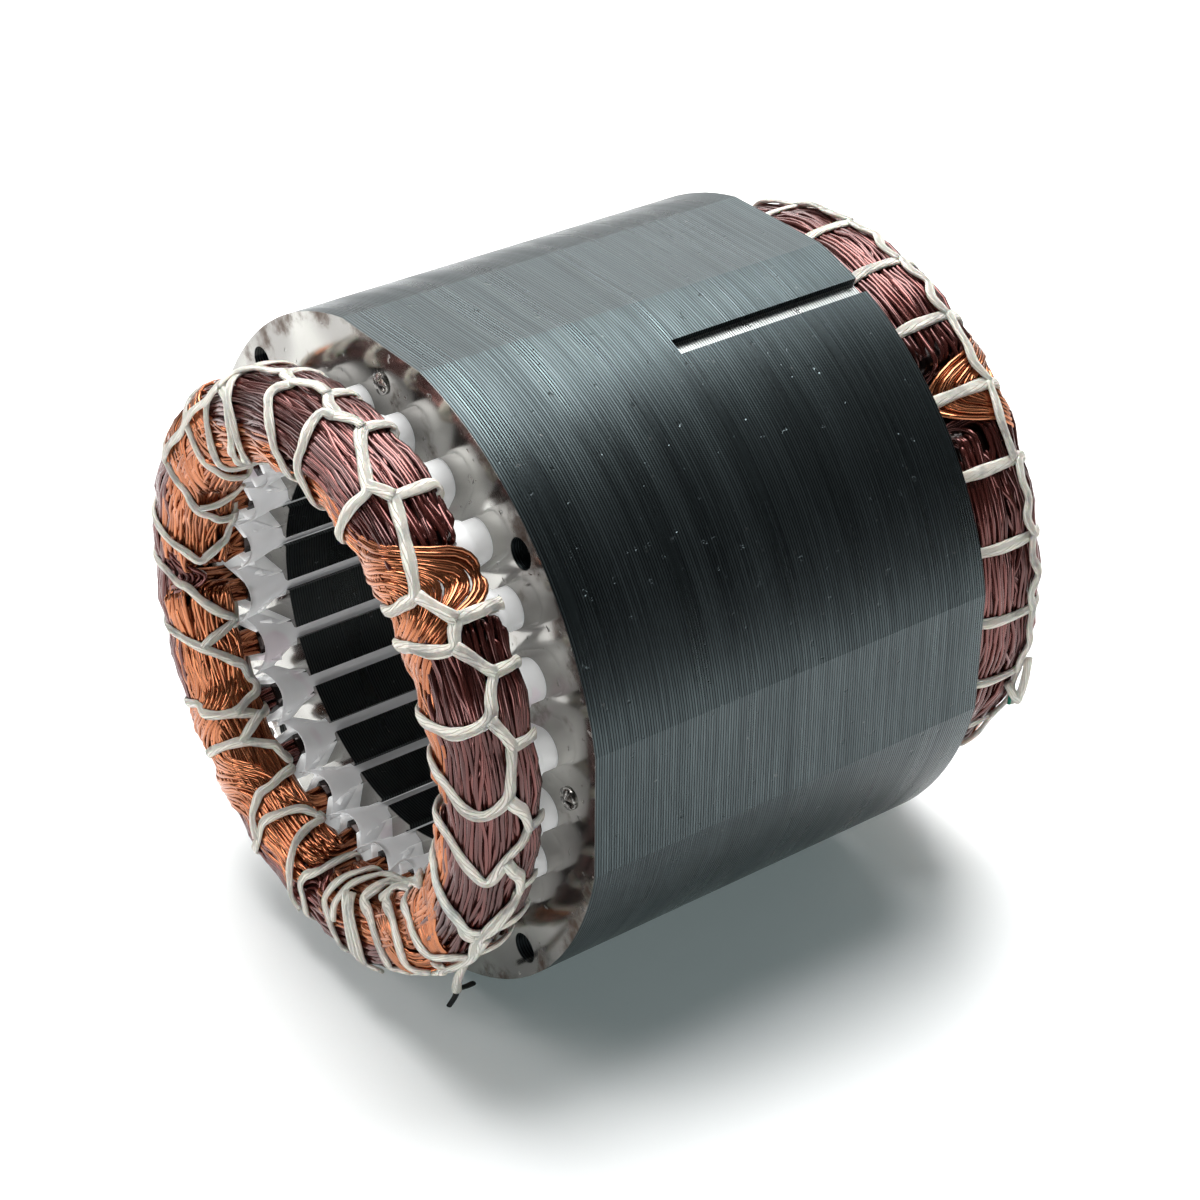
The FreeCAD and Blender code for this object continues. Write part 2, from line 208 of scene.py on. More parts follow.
def endTurns(ring, centre, coil, rng):
    # Wires of one coil at one end: a lane round the ring, then a turn down into the slot at
    # each end of it. Lanes wander by a sum of two sines, so the wires cross each other. With a
    # crown, the lanes swing over by a bell curve at the middle of the coil.
    count = coil["wires"]
    order = (np.arange(count) + rng.uniform(0.25, 0.75, count)) / count
    roll, run = laneRolls(ring, *coil["lanes"], order)
    layer = coil["depth"] + coil.get("layers", wireLay["layers"]) * (np.arange(count) % 2)
    layer = layer + rng.uniform(-wireLay["uneven"], wireLay["uneven"], count)
    turn = rng.uniform(*coil["turn"], count)
    share = np.linspace(-1, 1, coil.get("steps", wireLay["lanePoints"]))
    angle = share[None] * (coil["reach"] - turn)[:, None]
    wave = np.zeros(angle.shape)
    dip = np.zeros(angle.shape)
    wander = coil["wander"] * rng.choice((1.0, wireLay["strayWander"]), (count, 1), p=wireLay["strayShare"])
    for length in wireLay["waves"]:
        phase = rng.uniform(0, 2 * np.pi, (2, count, 1))
        wave += np.sin(2 * np.pi * angle / length + phase[0]) * wander * length / wireLay["waves"][0]
        dip += np.sin(2 * np.pi * angle / length * 1.7 + phase[1]) * wireLay["dip"]
    degreesPerMm = (coil["lanes"][1] - coil["lanes"][0]) / run
    lane = roll[:, None] + wave * degreesPerMm
    if "crown" in coil:
        target = laneRolls(ring, *coil["crown"], order)[0]
        swing = np.exp(-(angle / rng.uniform(*coil["spread"], (count, 1))) ** 2)
        lane = lane + (target - roll)[:, None] * swing
    path = onRing(ring, centre + angle, lane, layer[:, None] + dip)
    ends = []
    for end, beside, way in ((0, 1, -1), (-1, -2, 1)):
        start = path[:, end]
        ahead = unit(start - path[:, beside])
        spread = rng.uniform(-wireLay["slotSpread"], wireLay["slotSpread"], count)
        slotAngle = centre + (coil["reach"] + spread) * way
        # Wires of the inner layer leave the slot in a less even order.
        share = order if coil["lanes"][0] < 60 else (order * 0.8 + rng.uniform(0, 0.2, count))
        reach = coil["exit"][1] + (coil["exit"][0] - coil["exit"][1]) * share
        foot = ringPoint(ring, slotAngle, reach, wireLay["foot"])
        height = wireLay["over"] + rng.uniform(0, wireLay["overSpread"], count)
        over = ringPoint(ring, slotAngle, reach, height)
        pull = np.linalg.norm(foot - start, axis=-1, keepdims=True) * wireLay["pull"]
        curve = bezier((start, start + ahead * pull, over, foot), wireLay["turnPoints"])
        ends.append(curve[:, :0:-1] if end == 0 else curve[:, 1:])
    paths = np.concatenate([ends[0], path, ends[1]], 1)
    middle = (ring["inner"] + ring["outer"]) / 2
    radial = np.hypot(paths[..., 0], paths[..., 2])
    core = paths * np.stack([middle / radial, 0 * radial, middle / radial], -1)
    core[..., 1] = ring["side"] * (halfStack + (ring["base"] + ring["top"]) / 2)
    tones = rng.uniform(0, 1, count)
    return tubes(paths, np.full(paths.shape[:2], coil["gauge"] / 2), wireLay["sides"], paths - core, tones)


# Hidden wires, painted nearly black as shade. A leg is as wide as its slot less the wall, or the round end
# where that is less.
hidden = {"depths": (2.3, 5.0), "reach": 38.5, "tone": -1.0}
leg = {"wall": 3.4, "bendRadius": 3.45, "bendCentre": 53.25, "top": 7.4, "foot": -2.0}


def packedCore(ring, centre, lanes):
    # Mass of hidden wires behind the outer ones, painted nearly black as shade, between two depths under the
    # surface.
    roll = np.linspace(lanes[0], lanes[1], 14)[None]
    angle = centre + np.linspace(-hidden["reach"], hidden["reach"], 30)[:, None]
    faces = [onRing(ring, angle, roll, depth) for depth in hidden["depths"]]
    return slab(*faces, hidden["tone"])


def slotLeg(ring, angle, low, high):
    # Wires packed in one slot, up to just under the top of the cuff, painted nearly black as shade.
    # The round end's half width is the root of its radius squared less the distance past its centre squared.
    reach = np.linspace(low, high, 9)[:, None]
    wall = np.tan(np.radians(slotPitch / 2)) * reach - leg["wall"]
    past = np.maximum(reach - leg["bendCentre"], 0)
    bend = np.sqrt(np.maximum(leg["bendRadius"] ** 2 - past ** 2, 0.2))
    across = np.linspace(-1, 1, 4)[None] * np.minimum(wall, bend)
    turn = np.radians(angle)
    flat = np.stack([reach * np.cos(turn) - across * np.sin(turn), 0 * across,
                     reach * np.sin(turn) + across * np.cos(turn)], -1)
    ends = [flat + np.array([0, ring["side"], 0]) * (halfStack + leg[end]) for end in ("top", "foot")]
    return slab(*ends, hidden["tone"])


def newNode(tree, kind, inputs=(), **settings):
    node = tree.nodes.new(kind)
    for key, value in settings.items():
        setattr(node, key, value)
    for key, value in dict(inputs).items():
        feed(tree, node.inputs[key], value)
    return node


def feed(tree, socket, value):
    # Links a socket to another node's output, or sets it.
    if isinstance(value, bpy.types.NodeSocket):
        tree.links.new(value, socket)
    elif socket.type == "RGBA":
        socket.default_value = (*value, 1)
    else:
        socket.default_value = value


def calc(tree, operation, *operands, clamp=False):
    # One Math node; operands are numbers or sockets.
    node = newNode(tree, "ShaderNodeMath", dict(enumerate(operands)), operation=operation, use_clamp=clamp)
    return node.outputs[0]


def blend(tree, factor, first, second):
    # From the first colour to the second.
    node = newNode(tree, "ShaderNodeMix", {0: factor, 6: first, 7: second}, data_type="RGBA")
    return node.outputs[2]


def between(tree, value, low, high):
    # 0 below low and 1 above high, or the other way round when low is the larger.
    node = newNode(tree, "ShaderNodeMapRange", {0: value, 1: low, 2: high}, interpolation_type="SMOOTHSTEP")
    return node.outputs[0]


def noise(tree, vector, perMm, detail=3.0, roughness=0.55):
    # Noise with this many lumps to a millimetre.
    inputs = {"Vector": vector, "Scale": perMm / mm, "Detail": detail, "Roughness": roughness}
    return newNode(tree, "ShaderNodeTexNoise", inputs).outputs["Fac"]


def relief(tree, height, depth, under=None):
    # Bump whose full height is depth millimetres.
    inputs = {"Height": height, "Distance": depth * mm, "Strength": 1.0}
    if under is not None:
        inputs["Normal"] = under
    return newNode(tree, "ShaderNodeBump", inputs).outputs[0]


def newMaterial(name):
    # A material with its node tree, its Principled BSDF and the object coordinates.
    material = bpy.data.materials.new(name)
    material.use_nodes = True
    tree = material.node_tree
    place = newNode(tree, "ShaderNodeTexCoord").outputs["Object"]
    return material, tree, tree.nodes["Principled BSDF"], place


def connect(tree, shader, **sockets):
    # Feeds the named sockets of the shader; an underscore stands for a space.
    for key, value in sockets.items():
        feed(tree, shader.inputs[key.replace("_", " ")], value)


def cylinderGroup():
    # Where a point lies on the stack: distance from the axis, distance along the surface round
    # it, position along it, all in millimetres, and a streak vector that is stretched round it.
    group = bpy.data.node_groups.new("roundTheStack", "ShaderNodeTree")
    group.interface.new_socket("Place", in_out="INPUT", socket_type="NodeSocketVector")
    for name in ("Radius", "Round", "Length"):
        group.interface.new_socket(name, in_out="OUTPUT", socket_type="NodeSocketFloat")
    group.interface.new_socket("Streak", in_out="OUTPUT", socket_type="NodeSocketVector")
    start = newNode(group, "NodeGroupInput")
    end = newNode(group, "NodeGroupOutput")
    split = newNode(group, "ShaderNodeSeparateXYZ", {0: start.outputs[0]}).outputs
    squares = calc(group, "ADD", calc(group, "POWER", split[0], 2.0), calc(group, "POWER", split[2], 2.0))
    radius = calc(group, "DIVIDE", calc(group, "SQRT", squares), mm)
    around = calc(group, "MULTIPLY", calc(group, "ARCTAN2", split[2], split[0]), 70.0)
    length = calc(group, "DIVIDE", split[1], mm)
    stretched = calc(group, "MULTIPLY", around, 0.05 * mm)
    streak = newNode(group, "ShaderNodeCombineXYZ", {0: stretched, 1: split[1]}).outputs[0]
    for index, value in enumerate((radius, around, length, streak)):
        group.links.new(value, end.inputs[index])
    return group


def ribGroup():
    # Edges of the stacked sheets: a narrow groove between neighbours, sheets of uneven height
    # and a value that differs from sheet to sheet and fades in and out round the stack.
    group = bpy.data.node_groups.new("sheetEdges", "ShaderNodeTree")
    for name, kind in (("Length", "Float"), ("Streak", "Vector")):
        group.interface.new_socket(name, in_out="INPUT", socket_type="NodeSocket" + kind)
    for name in ("Height", "Sheet", "Groove"):
        group.interface.new_socket(name, in_out="OUTPUT", socket_type="NodeSocketFloat")
    start = newNode(group, "NodeGroupInput")
    end = newNode(group, "NodeGroupOutput")
    scaled = calc(group, "DIVIDE", start.outputs[0], sheetPitch)
    number = calc(group, "FLOOR", scaled)
    sheet = newNode(group, "ShaderNodeTexWhiteNoise", {"W": number}, noise_dimensions="1D").outputs["Value"]
    across = calc(group, "ABSOLUTE", calc(group, "SUBTRACT", calc(group, "FRACT", scaled), 0.5))
    groove = between(group, across, 0.20, 0.44)
    drift = noise(group, start.outputs[1], 1.3, 2.0, 0.5)
    uneven = calc(group, "MULTIPLY", calc(group, "ADD", sheet, between(group, drift, 0.3, 0.7)), 0.5)
    height = calc(group, "SUBTRACT", calc(group, "MULTIPLY", uneven, 0.25), groove)
    for index, value in enumerate((height, uneven, groove)):
        group.links.new(value, end.inputs[index])
    return group


roundTheStack = cylinderGroup()
sheetEdges = ribGroup()


# Finishes of the stack. Pairs are the ends of a blend; rim, bore and key are distances from the
# axis in millimetres, where the stains gather, the bore's surface begins and the key groove lies.
# The bore's colour is painted shade: the blued edges turn darker inside the bore and slots.
stackLook = {
    "bare": ((0.26, 0.25, 0.235), (0.47, 0.46, 0.43)), "stain": (0.075, 0.048, 0.033), "rim": (64.5, 69.5),
    "blued": ((0.042, 0.055, 0.059), (0.088, 0.113, 0.118)), "gap": (0.003, 0.004, 0.004),
    "boreShade": (0.036, 0.043, 0.042), "bore": (64.0, 60.0), "speck": (0.09, 0.10, 0.10),
    "worn": ((0.42, 0.44, 0.43), (0.13, 0.14, 0.14)), "key": ((68.58, 68.50), (66.5, 67.0)),
    "ribDepth": 0.05, "pitDepth": 0.12,
}


def stackMaterial():
    material, tree, shader, place = newMaterial("bluedStack")
    where = newNode(tree, "ShaderNodeGroup", {0: place}, node_tree=roundTheStack)
    radius, around, length, streak = where.outputs
    rib = newNode(tree, "ShaderNodeGroup", {0: length, 1: streak}, node_tree=sheetEdges)
    height, sheet, groove = rib.outputs
    # Bare end faces, with oily stains along the rim and in patches between the cuffs.
    endFace = between(tree, calc(tree, "ABSOLUTE", length), halfStack - 0.03, halfStack - 0.01)
    rim = between(tree, radius, *stackLook["rim"])
    patch = noise(tree, place, 0.10, 5.0, 0.62)
    stain = between(tree, calc(tree, "ADD", patch, calc(tree, "MULTIPLY", rim, 0.13)), 0.57, 0.80)
    cloud = between(tree, noise(tree, place, 0.045, 2.0, 0.5), 0.35, 0.7)
    bare = blend(tree, cloud, *stackLook["bare"])
    bare = blend(tree, stain, bare, stackLook["stain"])
    # Blued edges: darker in the bore as painted shade, bright where the floor of the key groove is worn bare.
    blued = blend(tree, sheet, *stackLook["blued"])
    blued = blend(tree, between(tree, radius, *stackLook["bore"]), blued, stackLook["boreShade"])
    blued = blend(tree, calc(tree, "MULTIPLY", groove, 0.96), blued, stackLook["gap"])
    outerWall, innerWall = stackLook["key"]
    keyFloor = calc(tree, "MULTIPLY", between(tree, radius, *outerWall), between(tree, radius, *innerWall))
    worn = blend(tree, groove, *stackLook["worn"])
    blued = blend(tree, keyFloor, blued, worn)
    speck = between(tree, noise(tree, place, 0.55, 2.0, 0.5), 0.73, 0.77)
    blued = blend(tree, speck, blued, stackLook["speck"])
    colour = blend(tree, endFace, blued, bare)
    metal = calc(tree, "ADD", 0.88, calc(tree, "MULTIPLY", endFace, 0.09))
    smear = between(tree, noise(tree, streak, 0.12, 3.0, 0.5), 0.35, 0.68)
    sideRough = calc(tree, "ADD", 0.26, calc(tree, "MULTIPLY", smear, 0.12))
    endRough = calc(tree, "ADD", 0.13, calc(tree, "MULTIPLY", stain, 0.30))
    rough = newNode(tree, "ShaderNodeMix", {0: endFace, 2: sideRough, 3: endRough}).outputs[0]
    onEdge = calc(tree, "SUBTRACT", 1.0, endFace)
    ribs = relief(tree, calc(tree, "MULTIPLY", height, onEdge), stackLook["ribDepth"])
    pits = between(tree, noise(tree, place, 0.45, 2.0, 0.5), 0.69, 0.76)
    dents = relief(tree, calc(tree, "MULTIPLY", pits, -1.0), stackLook["pitDepth"], ribs)
    connect(tree, shader, Base_Color=colour, Metallic=metal, Roughness=rough, Normal=dents)
    connect(tree, shader, Specular_IOR_Level=0.55)
    return material


def wireMaterial(name, dark, light, metallic, glaze):
    # Enamelled wire: lengths differ in tone, and hidden wires are painted nearly black as shade.
    material, tree, shader, place = newMaterial(name)
    tone = newNode(tree, "ShaderNodeAttribute", attribute_name="tone").outputs["Fac"]
    patch = calc(tree, "MULTIPLY", noise(tree, place, 0.25, 3.0, 0.6), 0.45)
    shade = calc(tree, "ADD", calc(tree, "MULTIPLY", tone, 0.65), patch, clamp=True)
    colour = blend(tree, shade, dark, light)
    # Painted shade: wires with tones below zero turn nearly black.
    hiddenShade = between(tree, tone, -0.2, -0.6)
    colour = blend(tree, hiddenShade, colour, (0.012, 0.005, 0.004))
    rough = calc(tree, "ADD", 0.15, calc(tree, "MULTIPLY", noise(tree, place, 0.6, 2.0), 0.12))
    dents = relief(tree, noise(tree, place, 0.3, 1.0, 0.5), 0.03)
    connect(tree, shader, Base_Color=colour, Metallic=metallic, Roughness=rough, Normal=dents)
    connect(tree, shader, Coat_Weight=glaze, Coat_Roughness=0.18)
    return material


def filmMaterial(name, colour, roughness, glow):
    # Polyester film, faintly printed with pink lines. A weak glow stands for the light it lets through.
    material, tree, shader, place = newMaterial(name)
    cloud = noise(tree, place, 0.12, 3.0, 0.5)
    base = blend(tree, cloud, colour, tuple(0.86 * part for part in colour))
    printed = between(tree, noise(tree, place, 0.09, 1.0, 0.4), 0.66, 0.74)
    base = blend(tree, calc(tree, "MULTIPLY", printed, 0.35), base, (0.72, 0.52, 0.62))
    connect(tree, shader, Base_Color=base, Roughness=roughness, Specular_IOR_Level=0.4)
    connect(tree, shader, Emission_Color=base, Emission_Strength=glow)
    connect(tree, shader, Subsurface_Weight=0.25, Subsurface_Radius=(0.9, 0.9, 0.9), Subsurface_Scale=0.002)
    return material


cordColours = {"fibre": ((0.93, 0.90, 0.82), (0.74, 0.70, 0.60)), "creaseShade": (0.42, 0.37, 0.27),
               "dirt": (0.36, 0.36, 0.34), "blackEnd": (0.008, 0.009, 0.009), "greenEnd": (0.02, 0.27, 0.17)}


def cordMaterial():
    # Flat cord of ten plies that wind slowly round it: a crease lies where the sine of five turns
    # plus the length along it is small, and painted shade darkens it. Fine fibres, grey dirt in
    # patches, black ends and one green end. Tones over 1 mark these ends.
    material, tree, shader, place = newMaterial("lacingCord")
    along = newNode(tree, "ShaderNodeUVMap", uv_map="along").outputs[0]
    run, turn, _ = newNode(tree, "ShaderNodeSeparateXYZ", {0: along}).outputs
    tone = newNode(tree, "ShaderNodeAttribute", attribute_name="tone").outputs["Fac"]
    drift = calc(tree, "MULTIPLY", noise(tree, place, 0.2, 2.0), 5.0)
    winding = calc(tree, "ADD", calc(tree, "MULTIPLY", turn, 31.4), calc(tree, "MULTIPLY", run, 0.9))
    ply = calc(tree, "ABSOLUTE", calc(tree, "SINE", calc(tree, "ADD", winding, drift)))
    creaseShade = between(tree, ply, 0.45, 0.05)
    lengths = newNode(tree, "ShaderNodeCombineXYZ", {0: calc(tree, "MULTIPLY", run, 0.5 * mm),
                                                     1: calc(tree, "MULTIPLY", turn, 9.0 * mm)}).outputs[0]
    fibre = noise(tree, lengths, 1.6, 3.0, 0.6)
    height = calc(tree, "SUBTRACT", fibre, calc(tree, "MULTIPLY", creaseShade, 0.7))
    dirt = between(tree, noise(tree, place, 0.13, 4.0, 0.6), 0.50, 0.64)
    shade = blend(tree, calc(tree, "MULTIPLY", fibre, 0.6), *cordColours["fibre"])
    # Painted shade: the creases between the plies are coloured darker.
    shade = blend(tree, calc(tree, "MULTIPLY", creaseShade, 0.55), shade, cordColours["creaseShade"])
    shade = blend(tree, calc(tree, "MULTIPLY", dirt, 0.6), shade, cordColours["dirt"])
    shade = blend(tree, between(tree, tone, 1.2, 1.4), shade, cordColours["blackEnd"])
    shade = blend(tree, between(tree, tone, 2.2, 2.4), shade, cordColours["greenEnd"])
    connect(tree, shader, Base_Color=shade, Roughness=0.72, Normal=relief(tree, height, 0.45))
    connect(tree, shader, Subsurface_Weight=0.12, Subsurface_Scale=0.0015, Specular_IOR_Level=0.3)
    return material


def rivetMaterial():
    # Bright steel, dark where it is dirty.
    material, tree, shader, place = newMaterial("stakedRivet")
    wear = between(tree, noise(tree, place, 0.8, 3.0, 0.6), 0.4, 0.65)
    colour = blend(tree, wear, (0.10, 0.095, 0.09), (0.55, 0.53, 0.50))
    connect(tree, shader, Base_Color=colour, Metallic=1.0, Roughness=0.26)
    connect(tree, shader, Normal=relief(tree, noise(tree, place, 1.5, 2.0), 0.1))
    return material


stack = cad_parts["lamination_stack"]
stack.data.materials.clear()
stack.data.materials.append(stackMaterial())

rivets = {"circle": 60.5, "radius": 2.3, "stand": 1.0, "arms": 4, "starDepth": 0.55, "starTurn": 0.6}


def rivetEnd(side, angle):
    # Domed disc with a star struck into it: the height dips by the cosine of four times the
    # angle, most at half the radius.
    share = np.linspace(0, 1, 11)[:, None]
    turn = np.linspace(0, 2 * np.pi, 41)[None]
    arms = np.maximum(np.cos(rivets["arms"] * turn + rivets["starTurn"]), 0) ** 2
    star = arms * np.sin(np.pi * share) ** 0.6
    top = rivets["stand"] * np.sqrt(1 - 0.75 * share ** 2) - rivets["starDepth"] * star + 0 * turn
    around = np.radians(angle)
    across = share * rivets["radius"] * np.cos(turn)
    tangent = share * rivets["radius"] * np.sin(turn)
    reach = rivets["circle"] + across
    x = reach * np.cos(around) - tangent * np.sin(around)
    z = reach * np.sin(around) + tangent * np.cos(around)
    front = np.stack([x, side * (halfStack + top), z], -1)
    back = np.stack([x, side * (halfStack - 0.5) + 0 * x, z], -1)
    return slab(front, back)


heads = [rivetEnd(side, angle) for side in (-1, 1) for angle in (0, 90, 180, 270)]
addMesh("stakedRivets", heads, rivetMaterial(), ["stack_rivets"])
print("stack and rivets")


liner = {"film": 0.3, "clearance": 0.1, "top": 8.6, "cuff": 5.0, "inner": 43.3, "toothWidth": 5.4,
         "slotRadius": 57.5, "joint": 3.0, "lean": 0.25}
flap = {"reach": 43.4, "half": 3.4, "thickness": 0.12}
wedge = {"inner": 43.05, "top": 10.5, "uneven": 0.7, "half": 2.1, "flare": 4.4, "curl": 1.8, "crown": 1.3,
         "notch": 2.6, "thickness": 0.3, "lean": 0.35}
halfTurn = np.radians(slotPitch / 2)


def slotOutline(inner, depth, count):
    # Open path round the slot: along one wall, round its outer end and back along the other.
    centre = (liner["slotRadius"] + liner["toothWidth"] / 2) / (1 + np.sin(halfTurn))
    radius = liner["slotRadius"] - centre - depth
    half = (inner * np.sin(halfTurn) - liner["toothWidth"] / 2 - depth) / np.cos(halfTurn)
    swing = np.linspace(np.pi / 2 + halfTurn, -np.pi / 2 - halfTurn, count)
    bend = np.stack([centre + radius * np.cos(swing), radius * np.sin(swing)], -1)
    first = np.linspace([inner, half], bend[0], 5)[:-1]
    last = np.linspace(bend[-1], [inner, -half], 5)[1:]
    return np.vstack([first, bend, last])


def aroundSlot(local, side, height, angle):
    # Points given beside a slot's centre line, carried to the slot at this angle.
    turn = np.radians(angle)
    x, across = local[..., 0], local[..., 1]
    return np.stack([x * np.cos(turn) - across * np.sin(turn), side * (halfStack + height),
                     x * np.sin(turn) + across * np.cos(turn)], -1)


def linerEnd(side, angle, rng):
    # The film comes out of the slot, folds over at the top and hangs outside itself as a cuff.
    # A profile is a list of depths off the slot's wall and heights, carried along the outline.
    film, clear, top = liner["film"], liner["clearance"], liner["top"]
    low = top - liner["cuff"]
    inside = [(clear + film, -liner["joint"]), (clear + film, top - 0.35), (clear + 0.12, top),
              (clear - 0.2, top), (-0.52, top - 0.35), (-0.62, low + 1.2), (-0.55, low)]
    outside = [(clear, -liner["joint"]), (clear, top - 1.4), (clear - 0.02, top - 1.0), (-0.06, top - 1.0),
               (-0.22, top - 1.4), (-0.30, low + 1.2), (-0.25, low)]
    lean = rng.uniform(-liner["lean"], liner["lean"], 2)
    grids = []
    for profile in (inside, outside):
        rows = []
        for depth, height in profile:
            splay = max(height, 0.0) / top
            outline = slotOutline(liner["inner"], depth, 15) + lean * splay
            outline[:, 1] *= 1 + 0.03 * splay
            rows.append(aroundSlot(outline, side, np.full(len(outline), height), angle))
        grids.append(np.array(rows))
    return slab(grids[0], grids[1])


def linerMiddle(angle):
    # The same film inside the slot, from one end piece to the other.
    ends = (-liner["joint"] + 0.1, -2 * halfStack + liner["joint"] - 0.1)
    grids = []
    for depth in (liner["clearance"] + liner["film"], liner["clearance"]):
        outline = slotOutline(liner["inner"], depth, 9)
        rows = [aroundSlot(outline, 1, np.full(len(outline), height), angle) for height in ends]
        grids.append(np.array(rows))
    return slab(*grids)


def cornerFlap(side, angle, edge, rng):
    # Torn corner of the film that sticks up beside the wedge: a bent quad between four points.
    low, size = rng.uniform(3.5, 6.5), rng.uniform(1.6, 3.0)
    base = np.array([flap["reach"], edge * flap["half"]])
    out = base + [rng.uniform(-0.8, 0.6), edge * rng.uniform(0.4, 1.8)]
    tip = base + [rng.uniform(-1.0, 1.4), edge * rng.uniform(0.5, 2.2)]
    corners = np.array([[base, out], [base + [0.6, 0], tip]])
    heights = np.array([[low, low + 0.3], [low + size, low + size * rng.uniform(0.8, 1.3)]])
    front = aroundSlot(corners, side, heights, angle)
    return slab(front, front + np.array([1.0, side, 1.0]) * flap["thickness"])


def wedgeStrip(side, angle, rng):
    # The strip widens outside the stack and curls back at its edges. Its end is cut to a
    # swallowtail: the middle stops short by the notch times one less the square of the share
    # of its half width.
    top = wedge["top"] + rng.uniform(-wedge["uneven"], wedge["uneven"])
    share = np.linspace(-1, 1, 17)[None]
    step = np.array([-halfStack, -3.0, -0.4, 0.6, 2.0, 3.6, 5.4, 7.2, 9.0, top])[:, None]
    spread = smoothStep((step + 0.6) / (top - 1.0))
    notch = wedge["notch"] * (1 - share ** 2) ** 0.8
    height = np.minimum(step - np.where(step == top, notch, 0), top - notch)
    half = wedge["half"] + wedge["flare"] * spread ** 0.8 * (1 + 0.06 * rng.uniform(-1, 1))
    curl = 0.25 + wedge["curl"] * spread
    lean = rng.uniform(-wedge["lean"], wedge["lean"]) * spread
    reach = wedge["inner"] - wedge["crown"] * spread * (1 - share ** 2) + curl * share ** 2 + lean * share
    local = np.stack([reach, half * share + lean], -1)
    front = aroundSlot(local, side, height, angle)
    back = aroundSlot(local + [wedge["thickness"], 0], side, height, angle)
    return slab(front, back)


linerFilm = filmMaterial("linerFilm", (0.94, 0.95, 0.95), 0.32, 0.20)
wedgeFilm = filmMaterial("wedgeFilm", (0.92, 0.93, 0.94), 0.42, 0.06)
for number in range(slotCount):
    angle = slotPitch * (number + 0.5)
    rng = np.random.default_rng(500 + number)
    parts = [linerEnd(-1, angle, rng), linerEnd(1, angle, rng), linerMiddle(angle)]
    for side in (-1, 1):
        parts += [cornerFlap(side, angle, edge, rng) for edge in (-1, 1)]
    strips = [wedgeStrip(-1, angle, rng), wedgeStrip(1, angle, rng)]
    label = f"{number + 1:02d}"
    addMesh("linerFilm" + label, parts, linerFilm, ["slot_liner_" + label])
    addMesh("wedgeFilm" + label, strips, wedgeFilm, ["slot_wedge_" + label])
print("liners and wedges")


# Coils of one pole. reach is the angle from the pole to the slot, lanes the rolls between which
# the wires lie, depth how far under the ring's surface, exit the distances from the axis at which
# they leave the slot, turn the degrees short of the slot at which they start to turn down, and
# crown the rolls to which a coil swings over at its middle, as wide as spread.
mainCoils = [
    {"reach": 37.5, "wires": 60, "lanes": (-58, 92), "depth": 0.55, "exit": (45.5, 56.0), "turn": (1, 10),
     "wander": 0.30, "gauge": 1.06},
    {"reach": 22.5, "wires": 26, "lanes": (-44, 86), "depth": 1.0, "exit": (51.5, 56.0), "turn": (2, 9),
     "wander": 0.6, "gauge": 1.06},
    {"reach": 22.5, "wires": 9, "lanes": (70, 92), "depth": 1.2, "exit": (51.5, 56.0), "turn": (4, 8),
     "wander": 0.3, "gauge": 1.06, "crown": (100, 160), "spread": (4.2, 4.6), "steps": 32},
]
startCoils = [
    {"reach": 37.5, "wires": 52, "lanes": (88, 218), "depth": 0.55, "exit": (45.0, 56.0), "turn": (-2, 7),
     "wander": 0.26, "gauge": 1.02},
    {"reach": 22.5, "wires": 20, "lanes": (94, 205), "depth": 1.0, "exit": (45.2, 50.0), "turn": (2, 9),
     "wander": 0.5, "gauge": 1.02},
    {"reach": 22.5, "wires": 30, "lanes": (90, 180), "depth": 0.4, "exit": (45.4, 50.0), "turn": (3, 7),
     "wander": 0.16, "gauge": 1.04, "crown": (-52, 118), "spread": (8.3, 8.9), "layers": 0.25, "steps": 32},
]
# single and shared are the spans of the legs in slots that one winding fills or that both use.
windings = [
    {"name": "mainWinding", "node": "main_winding_pole", "coils": mainCoils, "start": 0,
     "core": (-50, 92), "single": (44.9, 56.6), "shared": (51.1, 56.6), "slot": "dark_enamelled_copper"},
    {"name": "startWinding", "node": "start_winding_pole", "coils": startCoils, "start": 45,
     "core": (92, 212), "single": (44.9, 56.6), "shared": (44.9, 50.4), "slot": "bright_enamelled_copper"},
]
wireLooks = {
    "mainWinding": wireMaterial("darkEnamel", (0.040, 0.009, 0.008), (0.17, 0.042, 0.034), 0.70, 0.7),
    "startWinding": wireMaterial("brightEnamel", (0.21, 0.058, 0.021), (0.54, 0.195, 0.082), 0.9, 0.4),
}
for winding in windings:
    for pole in range(poleCount):
        centre = winding["start"] + 360 // poleCount * pole
        parts = []
        for ring in (nearRing, farRing):
            rng = np.random.default_rng(ring["seed"] + 10 * pole + winding["start"])
            for coil in winding["coils"]:
                parts.append(endTurns(ring, centre, coil, rng))
            parts.append(packedCore(ring, centre, winding["core"]))
            for turn in (-37.5, -22.5, 22.5, 37.5):
                low, high = winding["single"] if abs(turn) > 30 else winding["shared"]
                parts.append(slotLeg(ring, centre + turn, low, high))
        addMesh(f"{winding['name']}{pole + 1}", parts, wireLooks[winding["name"]],
                [f"{winding['node']}_{pole + 1}"])
print("windings")
